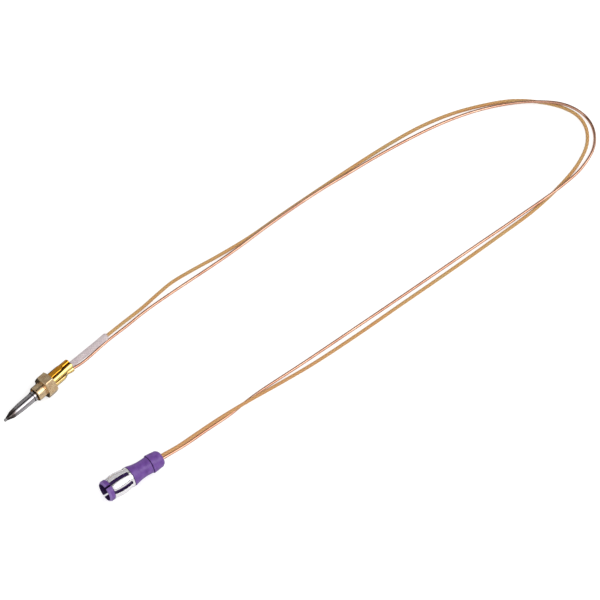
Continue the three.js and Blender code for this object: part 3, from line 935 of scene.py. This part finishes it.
def crimp_ring(station, outline, radius):
    """The round tube, creased on both sides of a ridge and then squeezed onto the leads."""
    crease_depth = 0.75
    crease_turn = 24
    crease_spread = 7.0
    ridge_turn = 17
    neck_depth = 0.62
    neck_length = 1.5
    sides_in = ease((station - CRIMP_START) / (CRIMP_FULL - CRIMP_START))
    ridge_in = ease((station - HEX_REAR) / (CRIMP_END - HEX_REAR))
    creased = ease((station - HEX_REAR + 1.5) / 4.0)
    necking = neck_depth * math.exp(-(((station - CRIMP_FULL) / neck_length) ** 2))
    points = []
    for turn, x, z in outline:
        angle = math.radians(turn)
        from_ridge = min(turn % 180, 180 - turn % 180)
        from_crease = abs(from_ridge - crease_turn)
        squeezed = ridge_in + (sides_in - ridge_in) * ease((from_ridge - ridge_turn) / 14)
        dent = crease_depth * creased * math.exp(-((from_crease / crease_spread) ** 2))
        reach = radius - dent
        across = reach * math.sin(angle) * (1 - squeezed) + x * squeezed
        up = reach * math.cos(angle) * (1 - squeezed) + z * squeezed
        if across < 0:
            across += necking * ease(-across / radius)
        points.append(PROBE.place(station, across, up, CRIMP_ROLL))
    return points


def crimp_tube():
    outside = refined(whole_outline(LOBE_OUTSIDE, WING_OUTSIDE))
    inside = refined(whole_outline(LOBE_INSIDE, WING_INSIDE))
    steps = 72
    lip = 0.12
    stations = [TUBE_FRONT + (CRIMP_END - lip - TUBE_FRONT) * i / steps for i in range(steps + 1)]
    rings = [crimp_ring(s, outside, TUBE_RADIUS) for s in stations]
    rounding = [(CRIMP_END - 0.04, 0.985), (CRIMP_END, 0.955)]
    for station, shrink in rounding:
        shrunk = [Vector((turn, x * shrink, z * shrink)) for turn, x, z in outside]
        rings.append(crimp_ring(station, shrunk, TUBE_RADIUS))
    inner_radius = TUBE_RADIUS - TUBE_WALL
    rings.append(crimp_ring(CRIMP_END, inside, inner_radius))
    rings += [crimp_ring(s, inside, inner_radius) for s in reversed(stations)]
    return lofted("crimp_tube_shell", rings, GOLD, wrap_rings=True, sharp_degrees=50)


def rod_outline(front, rear, radius, bore=0.0):
    edge = min(0.08, (radius - bore) / 3)
    return [(front, bore, 0), (front, radius, edge), (rear, radius, edge), (rear, bore, 0)]


finish_piece(weld_bead(), "oxidised_steel", "hot_junction_bead")
finish_piece(revolved("sheath_cone", PROBE, sheath_outline(), STEEL), "steel", "tip_sheath")
finish_piece(revolved("stop_ring", PROBE, ring_outline(), STEEL), "steel", "root_ring")
bush = revolved("hex_bush_turned", PROBE, bush_outline, BRASS, sides=360, roll=HEX_ROLL, sharp_degrees=28)
finish_piece(bush, "brass", "hex_bush")
finish_piece(crimp_tube(), "passivated_brass", "crimp_tube")

INNER_RODS = [
    ("core_wire", PROBE, rod_outline(1.05, 32.0, CORE_RADIUS), ALLOY, "constantan", "constantan_core"),
    ("ceramic_tube", PROBE, rod_outline(9.6, 29.5, 1.05, 0.6), CERAMIC, "ceramic", "core_insulator"),
    ("splice_tube", PROBE, rod_outline(30.2, 35.2, 1.0, 0.6), TIN, "tin_plate", "splice_barrel"),
    ("lead_core_stub", PROBE, rod_outline(32.3, 36.9, CORE_RADIUS), CORE_COPPER, "copper",
     "lead_core_probe_end"),
]
for name, axis, outline, material, slot, node in INNER_RODS:
    finish_piece(revolved(name, axis, outline, material, sides=40), slot, node)


# ---- plug ----

def waist_points():
    steps = 14
    front = SHOULDER + 0.75
    points = []
    for i in range(steps + 1):
        station = front + (BODY_REAR - 0.35 - front) * i / steps
        end = front if station < WAIST else BODY_REAR
        rise = (SHOULDER_RADIUS - 0.06 if station < WAIST else BODY_REAR_RADIUS) - WAIST_RADIUS
        radius = WAIST_RADIUS + rise * ((station - WAIST) / (end - WAIST)) ** 2
        points.append((station, radius, 0))
    return points


def plug_body_outline():
    groove = 0.1
    return [
        (0, NOSE_BORE_RADIUS, 0.1), (0, NOSE_RIM_RADIUS, 0.1), (NOSE_BEVEL_LENGTH, NOSE_RADIUS, 0.2),
        (NOSE_LENGTH, NOSE_RADIUS, 0.2), (NOSE_LENGTH, BARREL_RADIUS, 0.05),
        (SHOULDER, BARREL_RADIUS, 0), (SHOULDER, SHOULDER_RADIUS, 0.12),
        (SHOULDER + 0.35, SHOULDER_RADIUS, 0.05), (SHOULDER + 0.45, SHOULDER_RADIUS - groove, 0.04),
        (SHOULDER + 0.6, SHOULDER_RADIUS - groove, 0.04), *waist_points(),
        (BODY_REAR, BODY_REAR_RADIUS, 0.15), (BODY_REAR, SPIGOT_RADIUS + 0.3, 0),
        (SPIGOT_FRONT - 0.3, SPIGOT_RADIUS + 0.3, 0), (SPIGOT_FRONT - 0.3, WIRE_BORE_RADIUS, 0),
        (MOUTH_DEPTH, WIRE_BORE_RADIUS, 0), (MOUTH_DEPTH, MOUTH_RADIUS, 0.1),
        (NOSE_LENGTH - 0.02, MOUTH_RADIUS, 0.1), (NOSE_LENGTH - 0.02, NOSE_BORE_RADIUS, 0.05),
    ]


def cap_outline():
    return [
        (SPIGOT_FRONT, WIRE_BORE_RADIUS, 0), (SPIGOT_FRONT, SPIGOT_RADIUS, 0.1),
        (BODY_REAR + 0.3, SPIGOT_RADIUS, 0), (BODY_REAR + 0.3, CAP_RADIUS - 0.12, 0.12),
        (BODY_REAR + 0.55, CAP_RADIUS, 0.2),
        (PLUG_LENGTH - 1.1, CAP_REAR_RADIUS, 0.9), (PLUG_LENGTH, CAP_REAR_RADIUS - 0.9, 0.5),
        (PLUG_LENGTH, WIRE_BORE_RADIUS, 0.15),
    ]


def cut_away(target, cutter):
    """Takes one closed mesh from another. It works in millimetres, where the solver is exact."""
    for item in (target, cutter):
        item.data.transform(Matrix.Scale(1 / MM, 4))
    modifier = target.modifiers.new("cut", "BOOLEAN")
    modifier.operation = "DIFFERENCE"
    modifier.solver = "EXACT"
    modifier.object = cutter
    depsgraph = bpy.context.evaluated_depsgraph_get()
    target.data = bpy.data.meshes.new_from_object(target.evaluated_get(depsgraph))
    target.modifiers.clear()
    target.data.transform(Matrix.Scale(MM, 4))
    bpy.data.objects.remove(cutter)


def round_edges(piece, width):
    bevel = piece.modifiers.new("edges", "BEVEL")
    bevel.width = width * MM
    bevel.segments = 2
    bevel.limit_method = "ANGLE"
    bevel.angle_limit = math.radians(50)


def slot_cutter():
    """A block through both sides of the nose ring, as deep as the ring."""
    side = NOSE_SLOT_WIDTH / 2
    reach = NOSE_RADIUS + 1
    corners = ((-side, -reach), (side, -reach), (side, reach), (-side, reach))
    rings = [
        [PLUG.place(station, x, z, PLUG_ROLL) for x, z in corners] for station in (-1, NOSE_LENGTH - 0.01)
    ]
    return lofted("nose_slot", rings, PURPLE)


def plug_body():
    body = revolved("plug_body_moulding", PLUG, plug_body_outline(), PURPLE, sides=120, roll=PLUG_ROLL)
    cut_away(body, slot_cutter())
    body.data.shade_smooth()
    body.data.set_sharp_from_angle(angle=math.radians(35))
    round_edges(body, 0.12)
    return body


def leaf_radius(station):
    share = min(1.0, max(0.0, (station - CAGE_FRONT) / (BAND_FRONT - CAGE_FRONT)))
    return BAND_RADIUS + LEAF_RISE * math.sin(math.pi * share)


def spring_cage():
    """Bowed leaves that grow from one split band, cut from sheet and rolled round."""
    leaf_steps = 16
    gap_steps = 6
    leaf_rows = 26
    crown_drop = 0.05
    tip_drop = 0.3
    tip_length = 1.1
    heel_drop = 0.12
    heel_length = 0.9
    half_gap = LEAF_GAP / 2
    stations = [CAGE_FRONT + (BAND_FRONT - CAGE_FRONT) * i / leaf_rows for i in range(leaf_rows + 1)]
    band_rows = [BAND_FRONT + 0.55, BAND_FRONT + 0.9, BAND_FRONT + 1.2, CAGE_REAR - 0.12, CAGE_REAR]
    sector = 2 * math.pi / LEAF_COUNT

    columns = []
    for leaf in range(LEAF_COUNT):
        for i in range(leaf_steps + 1):
            columns.append(("leaf", leaf, i / leaf_steps))
        if leaf < LEAF_COUNT - 1:
            for i in range(1, gap_steps):
                columns.append(("gap", leaf, i / gap_steps))

    def place(column, station):
        kind, leaf, share = column
        radius = leaf_radius(station)
        edge = math.asin(half_gap / radius)
        if kind == "leaf":
            angle = leaf * sector + edge + (sector - 2 * edge) * share
            near_edge = min(share, 1 - share)
            crown = crown_drop * (1 - ease(near_edge / 0.25))
            tip = tip_drop * ease((CAGE_FRONT + tip_length - station) / tip_length)
            heel = heel_drop * ease((station - BAND_FRONT + heel_length) / heel_length)
            radius -= crown + tip + heel * (1 - ease((station - BAND_FRONT) / 0.5))
        else:
            angle = (leaf + 1) * sector - edge + 2 * edge * share
        return PLUG.at(station, angle + CAGE_ROLL, radius)

    build = bmesh.new()
    grid = {}
    for c, column in enumerate(columns):
        rows = stations + band_rows if column[0] == "leaf" else band_rows
        for station in rows:
            shifted = station
            if station == band_rows[0] and column[0] == "leaf":
                shifted = station - 0.25 * abs(2 * column[2] - 1) ** 6
            if station == band_rows[0] and column[0] == "gap":
                shifted = station + 0.05
            grid[c, station] = build.verts.new(place(column, shifted))
    for c in range(len(columns) - 1):
        both_leaf = columns[c][0] == "leaf" and columns[c + 1][0] == "leaf"
        rows = stations + band_rows if both_leaf else band_rows
        for near, far in zip(rows, rows[1:]):
            build.faces.new((grid[c, near], grid[c + 1, near], grid[c + 1, far], grid[c, far]))
    cage = built_object("spring_cage_leaves", build, NICKEL, 40)
    thicken = cage.modifiers.new("thicken", "SOLIDIFY")
    thicken.thickness = CAGE_THICKNESS * MM
    thicken.offset = 0
    thicken.use_even_offset = True
    round_edges(cage, 0.06)
    return cage


def contact_outline():
    radius, socket = 1.5, 0.95
    front, rear = 6.4, 15
    return [
        (12, 0, 0), (12, socket, 0), (front + 0.25, socket, 0.1), (front, socket + 0.18, 0.05),
        (front, radius, 0.2), (rear, radius, 0.1), (rear, 0.65, 0), (13, 0.65, 0), (13, 0, 0),
    ]


finish_piece(plug_body(), "purple_plastic", "plug_body")
finish_piece(revolved("plug_cap_moulding", PLUG, cap_outline(), PURPLE, sides=120, roll=PLUG_ROLL),
             "purple_plastic", "plug_rear_cap")
finish_piece(spring_cage(), "nickel_plate", "spring_cage")
finish_piece(revolved("contact_pin_socket", PLUG, contact_outline(), TIN, sides=64, roll=PLUG_ROLL),
             "tin_plate", "centre_contact")
for node, material in (("earth_strip", NICKEL), ("lead_core_plug_end", CORE_COPPER)):
    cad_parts[node].data.materials.clear()
    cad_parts[node].data.materials.append(material)


# ---- floor, light and reflection cards ----

def flat_panel(name, width, length, material):
    mesh = bpy.data.meshes.new(name)
    x, y = width / 2, length / 2
    mesh.from_pydata([(-x, -y, 0), (x, -y, 0), (x, y, 0), (-x, y, 0)], [], [(0, 1, 2, 3)])
    mesh.materials.append(material)
    panel = bpy.data.objects.new(name, mesh)
    bpy.context.scene.collection.objects.link(panel)
    return panel


def floor():
    size = 60
    shader = Shader(
        "white_table", Roughness=0.9, Specular_IOR_Level=0, Base_Color=(0.55, 0.55, 0.55, 1),
        Emission_Color=(1, 1, 1, 1), Emission_Strength=0.55,
    )
    flat_panel("white_table", size, size, shader.material)


def graded_room():
    """A white room that is dark near the horizon, so that rounded metal gets dark edges."""
    world = bpy.data.worlds.new("studio_room")
    world.use_nodes = True
    tree = world.node_tree
    direction = tree.nodes.new("ShaderNodeTexCoord").outputs["Generated"]
    split = tree.nodes.new("ShaderNodeSeparateXYZ")
    tree.links.new(direction, split.inputs[0])
    ramp = tree.nodes.new("ShaderNodeValToRGB")
    tree.links.new(split.outputs["Z"], ramp.inputs["Fac"])
    greys = ((0.0, 0.015), (0.10, 0.05), (0.22, 0.8), (0.5, 1.0))
    set_stops(ramp.color_ramp, [(height, (grey, grey, grey, 1)) for height, grey in greys])
    tree.links.new(ramp.outputs["Color"], tree.nodes["Background"].inputs["Color"])
    tree.nodes["Background"].inputs["Strength"].default_value = 0.95
    bpy.context.scene.world = world


def aim_at_centre(item, across_angle, distance):
    """Hangs a lamp or a card over the table, turned about the X axis from straight above."""
    item.location = Vector((-0.35, math.sin(across_angle), math.cos(across_angle))) * distance
    item.rotation_euler = (-across_angle, 0, 0)


def reflection_card(name, length, width, grey):
    """A matt card that only shows in reflections, as a photographer's flag does."""
    shader = Shader(
        name, Base_Color=(0, 0, 0, 1), Specular_IOR_Level=0,
        Emission_Color=(grey, grey, grey, 1), Emission_Strength=1,
    )
    card = flat_panel(name, length, width, shader.material)
    for ray in ("camera", "diffuse", "transmission", "volume_scatter", "shadow"):
        setattr(card, "visible_" + ray, False)
    return card


def hanging_flag(name, across_degrees, spread_degrees, grey):
    """A long card over the table that covers an angle of the sky across the two groups."""
    distance = 3.0
    length = 16
    width = 2 * distance * math.tan(math.radians(spread_degrees / 2))
    card = reflection_card(name, length, width, grey)
    aim_at_centre(card, math.radians(across_degrees), distance)


def grey_table():
    """Dims the table in reflections, so that the undersides of the bright pieces show."""
    card = reflection_card("grey_table", 2, 2, 0.8)
    card.location = (0, 0, 0.01 * MM)


def painted_shadow_strip(name, axis, length, near_side, far_side):
    """A dark strip on the table below a turned group, from its near side to its far side: a painted shadow,
    seen only in reflections, standing in for the group's contact shadow.
    """
    middle = axis.place(length / 2, (near_side + far_side) / 2, 0)
    card = reflection_card(name, (length + 10) * MM, (far_side - near_side) * MM, 0.03)
    card.location = (middle.x, middle.y, 0.02 * MM)
    card.rotation_euler = (0, 0, math.atan2(axis.back.y, axis.back.x))


def softbox(name, across_degrees, length, width, distance, radiance):
    data = bpy.data.lights.new(name, "AREA")
    data.shape = "RECTANGLE"
    data.size = length
    data.size_y = width
    data.energy = radiance * math.pi * length * width
    lamp = bpy.data.objects.new(name, data)
    bpy.context.scene.collection.objects.link(lamp)
    aim_at_centre(lamp, math.radians(across_degrees), distance)


def studio():
    floor()
    graded_room()
    softbox("key_softbox", 39, 5.0, 2.0, 3.2, 2.3)
    hanging_flag("black_flag", -14, 30, 0.01)
    hanging_flag("thin_flag", 61, 8, 0.01)
    hanging_flag("grey_flag", -54, 46, 0.4)
    hanging_flag("low_flag", 78, 24, 0.72)
    grey_table()
    # painted shadow: dark strips under the probe and the plug, seen only in reflections
    painted_shadow_strip("probe_painted_shadow", PROBE, CRIMP_END, -4.5, 40)
    painted_shadow_strip("plug_painted_shadow", PLUG, PLUG_LENGTH, -4.5, 20)
    bpy.context.scene.view_settings.view_transform = "Standard"


studio()
